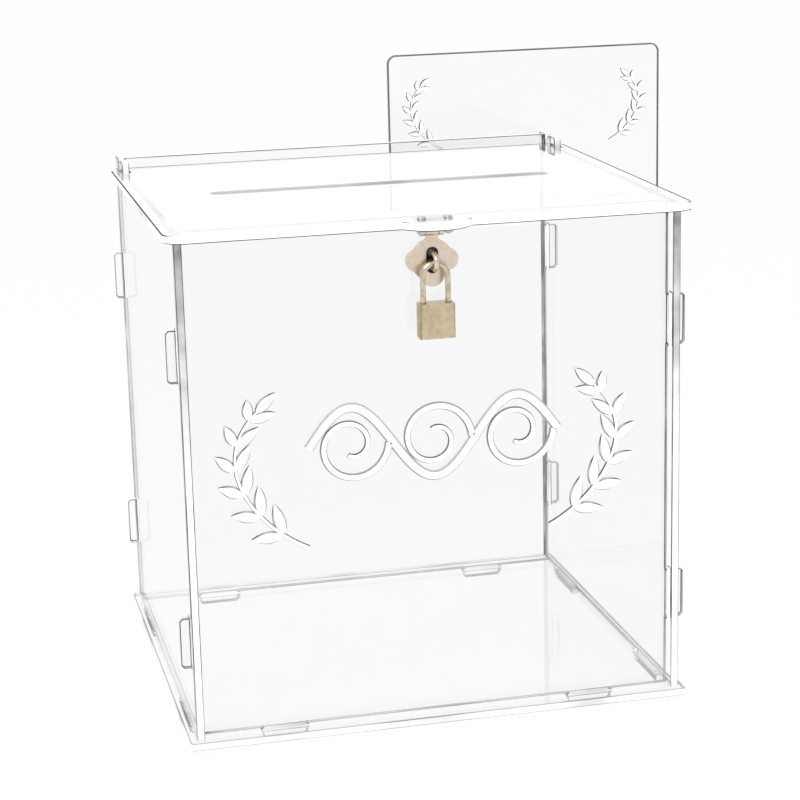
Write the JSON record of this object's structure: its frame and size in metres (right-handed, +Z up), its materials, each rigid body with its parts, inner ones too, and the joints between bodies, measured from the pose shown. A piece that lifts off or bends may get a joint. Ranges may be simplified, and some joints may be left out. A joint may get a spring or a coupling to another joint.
{
  "type": "donation box",
  "caption": "Clear acrylic donation box with a slotted hinged lid, a hasp and small padlock on the front, raised laurel ornament and a lift-out header sign",
  "frame": {"origin": "middle of the whole assembly's footprint, on the plane the foot tabs stand on", "axes": "+X to the right seen from the front, +Y to the back, +Z up"},
  "size_m": [0.325, 0.2509, 0.314],
  "materials": {
    "clear_acrylic": "clear polished sheet with cut edges",
    "white_acrylic": "opaque white",
    "hasp_brass": "satin champagne",
    "fastener_steel": "plain",
    "shackle_steel": "bright plated",
    "padlock_brass": "brushed",
    "plug_brass": "plain"
  },
  "bodies": {
    "box": {"base_plate": "clear_acrylic", "front_panel": "clear_acrylic", "back_panel": "clear_acrylic", "left_panel": "clear_acrylic", "right_panel": "clear_acrylic", "left_laurel": "white_acrylic", "right_laurel": "white_acrylic", "centre_flourish": "white_acrylic", "staple": "hasp_brass", "staple_backing": "fastener_steel", "staple_nuts": "fastener_steel", "sign_channel": "clear_acrylic"},
    "lid": {"lid": "clear_acrylic", "hasp_top_leaf": "hasp_brass", "hasp_pin": "fastener_steel", "hasp_screws": "fastener_steel", "hasp_nuts": "fastener_steel"},
    "hasp": {"hasp_plate": "hasp_brass"},
    "shackle": {"padlock_shackle": "shackle_steel"},
    "padlock": {"padlock_body": "padlock_brass"},
    "plug": {"padlock_plug": "plug_brass"},
    "sign": {"sign_plate": "clear_acrylic", "sign_left_laurel": "white_acrylic", "sign_right_laurel": "white_acrylic"}
  },
  "joints": [
    {"name": "lid_hinge", "type": "hinge", "parent": "box", "child": "lid", "pos_m": [-0.0325, 0.10425, 0.259], "axis": [-1, 0, 0], "range_deg": [0, 90]},
    {"name": "hasp_swing", "type": "hinge", "parent": "lid", "child": "hasp", "pos_m": [-0.0325, -0.1044, 0.2533], "axis": [-1, 0, 0], "range_deg": [0, 6]},
    {"name": "padlock_swing", "type": "hinge", "parent": "box", "child": "shackle", "pos_m": [-0.0325, -0.10995, 0.23885], "axis": [-1, 0, 0], "range_deg": [0, 75]},
    {"name": "shackle_release", "type": "slide", "parent": "shackle", "child": "padlock", "axis": [0, 0, -1], "range_m": [0, 0.007]},
    {"name": "plug_turn", "type": "hinge", "parent": "padlock", "child": "plug", "pos_m": [-0.0325, -0.10995, 0.20275], "axis": [0, 0, 1], "range_deg": [0, 90]},
    {"name": "sign_lift", "type": "slide", "parent": "box", "child": "sign", "axis": [0, 0, 1], "range_m": [0, 0.06]}
  ]
}
